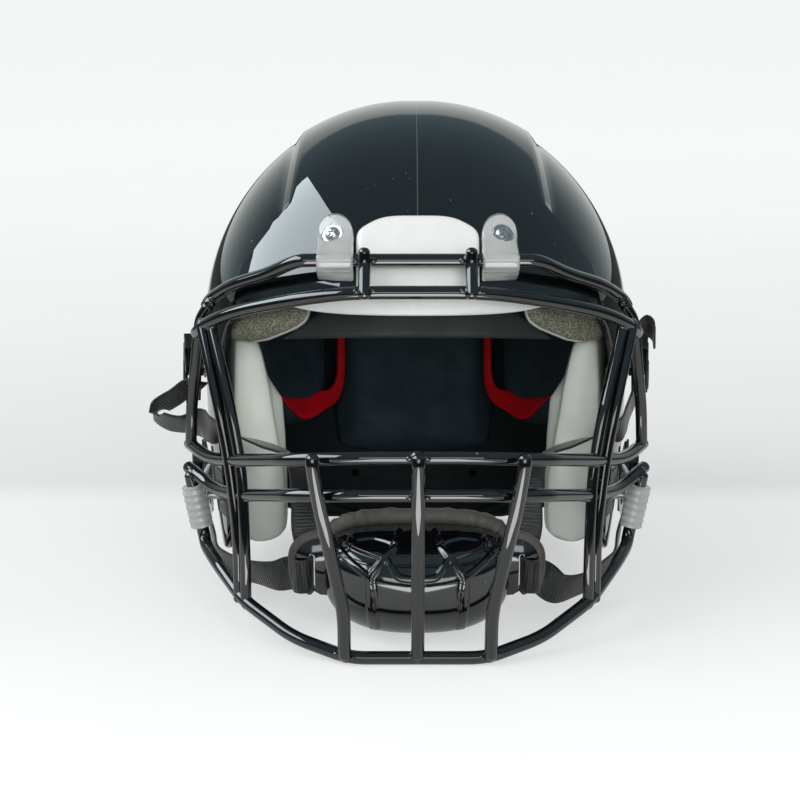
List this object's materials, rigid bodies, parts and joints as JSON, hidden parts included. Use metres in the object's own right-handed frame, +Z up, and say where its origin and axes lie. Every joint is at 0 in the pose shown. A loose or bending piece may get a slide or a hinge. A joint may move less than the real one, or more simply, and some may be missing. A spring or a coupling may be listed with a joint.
{
  "type": "football helmet",
  "caption": "Football helmet with a padded gloss shell, a wire face guard that swings up on its brow clips, and a chin cup on buckled straps.",
  "frame": {"origin": "centre of the bounding box at floor level, where the chin wire and the rear rim rest", "axes": "+Z up, -Y out of the face opening, +X to the right of someone who looks at the face guard"},
  "size_m": [0.2672, 0.3184, 0.2627],
  "materials": {
    "shell_gloss": "gloss black moulded plastic with a hard clear coat",
    "bumper_white": "glossy white plastic",
    "bumper_dark": "satin dark plastic",
    "clear_clip": "clear plastic",
    "steel": "bright plated steel",
    "brow_vinyl": "smooth dark grey-green vinyl over foam",
    "mesh_pad": "olive grey spacer mesh over foam",
    "navy_liner": "navy brushed fabric over foam",
    "red_band": "red soft binding",
    "jaw_vinyl": "smooth pale grey-green vinyl over foam",
    "snap_plastic": "dark nylon",
    "port_rubber": "black rubber",
    "cup_gloss": "gloss black hard plastic",
    "cup_pad": "grey-brown padded fabric",
    "webbing": "black ribbed webbing",
    "buckle_plastic": "black nylon",
    "guard_wire": "gloss black vinyl-coated steel wire"
  },
  "bodies": {
    "helmet": {"shell": "shell_gloss", "front_bumper": "bumper_white", "rear_bumper": "bumper_dark", "rear_bumper_screws": "steel", "top_clip_left": "clear_clip", "top_clip_right": "clear_clip", "top_clip_screws": "steel", "top_clip_nuts": "steel", "side_clip_screws": "steel", "side_clip_nuts": "steel", "front_pad": "brow_vinyl", "temple_pad_left": "mesh_pad", "temple_pad_right": "mesh_pad", "crown_liner": "navy_liner", "rear_liner": "navy_liner", "side_liner_left": "navy_liner", "side_liner_right": "navy_liner", "red_trim_left": "red_band", "red_trim_right": "red_band", "jaw_pad_left": "jaw_vinyl", "jaw_pad_right": "jaw_vinyl", "jaw_pad_snaps": "snap_plastic", "air_valves": "port_rubber", "strap_studs": "steel", "ear_trim": "port_rubber", "chin_cup": "cup_gloss", "chin_cup_liner": "cup_pad", "upper_strap_left": "webbing", "upper_strap_right": "webbing", "lower_strap_left": "webbing", "lower_strap_right": "webbing", "upper_buckle_left": "buckle_plastic", "upper_buckle_right": "buckle_plastic", "lower_buckle_left": "buckle_plastic", "lower_buckle_right": "buckle_plastic"},
    "face_guard": {"brow_wire_upper": "guard_wire", "brow_wire_lower": "guard_wire", "brow_posts": "guard_wire", "nose_wire_upper": "guard_wire", "nose_wire_lower": "guard_wire", "chin_wire": "guard_wire", "outer_upright_left": "guard_wire", "outer_upright_right": "guard_wire", "inner_uprights_left": "guard_wire", "inner_uprights_right": "guard_wire", "front_upright_centre": "guard_wire", "front_upright_left": "guard_wire", "front_upright_right": "guard_wire", "side_clip_left": "clear_clip", "side_clip_right": "clear_clip"},
    "upper_lever_left": {"upper_lever_left": "buckle_plastic"},
    "upper_lever_right": {"upper_lever_right": "buckle_plastic"},
    "lower_lever_left": {"lower_lever_left": "buckle_plastic"},
    "lower_lever_right": {"lower_lever_right": "buckle_plastic"}
  },
  "joints": [
    {"name": "face_guard_swing", "type": "hinge", "parent": "helmet", "child": "face_guard", "pos_m": [0, -0.10177, 0.1955], "axis": [-1, 0, 0], "range_deg": [0, 80]},
    {"name": "upper_lever_left_hinge", "type": "hinge", "parent": "helmet", "child": "upper_lever_left", "pos_m": [-0.12432, -0.00719, 0.12833], "axis": [-0.0981, 0.5971, -0.7961], "range_deg": [0, 100]},
    {"name": "upper_lever_right_hinge", "type": "hinge", "parent": "helmet", "child": "upper_lever_right", "pos_m": [0.12432, -0.00719, 0.12833], "axis": [-0.0981, -0.5971, 0.7961], "range_deg": [0, 100]},
    {"name": "lower_lever_left_hinge", "type": "hinge", "parent": "helmet", "child": "lower_lever_left", "pos_m": [-0.12197, 0.01219, 0.05902], "axis": [0.0736, 0.5839, -0.8085], "range_deg": [0, 100]},
    {"name": "lower_lever_right_hinge", "type": "hinge", "parent": "helmet", "child": "lower_lever_right", "pos_m": [0.12197, 0.01219, 0.05902], "axis": [0.0736, -0.5839, 0.8085], "range_deg": [0, 100]}
  ]
}
